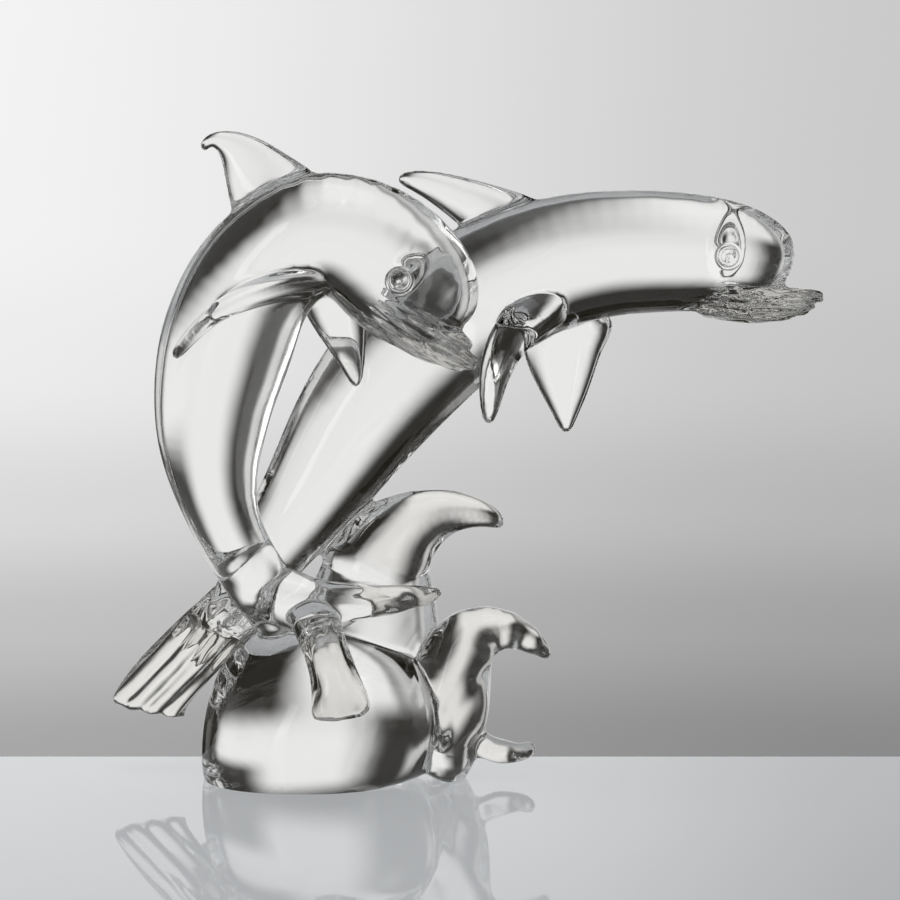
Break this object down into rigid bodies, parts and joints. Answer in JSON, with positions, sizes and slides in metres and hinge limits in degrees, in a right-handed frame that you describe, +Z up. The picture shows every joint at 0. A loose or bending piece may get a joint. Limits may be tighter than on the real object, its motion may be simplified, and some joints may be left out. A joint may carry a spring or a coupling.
{
  "type": "crystal dolphin figurine",
  "caption": "Clear crystal figurine of leaping dolphins above a curling wave base, with a flat ground foot.",
  "frame": {"origin": "middle of the flat foot, on the surface that the figurine stands on", "axes": "+Z up, +X the way the dolphins leap, +Y toward the rear dolphin"},
  "size_m": [0.3601, 0.1565, 0.3293],
  "materials": {
    "crystal": "clear, fire polished"
  },
  "bodies": {
    "root": {"base_boulder": "crystal", "foot_curl": "crystal", "front_body": "crystal", "front_dorsal_fin": "crystal", "front_far_eye": "crystal", "front_far_flipper": "crystal", "front_lower_bill": "crystal", "front_near_eye": "crystal", "front_near_flipper": "crystal", "front_near_fluke": "crystal", "front_right_fluke": "crystal", "front_upper_bill": "crystal", "lower_wave_crest": "crystal", "rear_body": "crystal", "rear_dorsal_fin": "crystal", "rear_far_eye": "crystal", "rear_far_flipper": "crystal", "rear_far_fluke": "crystal", "rear_left_fluke": "crystal", "rear_lower_bill": "crystal", "rear_near_eye": "crystal", "rear_near_flipper": "crystal", "rear_upper_bill": "crystal", "upper_wave_crest": "crystal", "wave_swell": "crystal"}
  },
  "joints": []
}
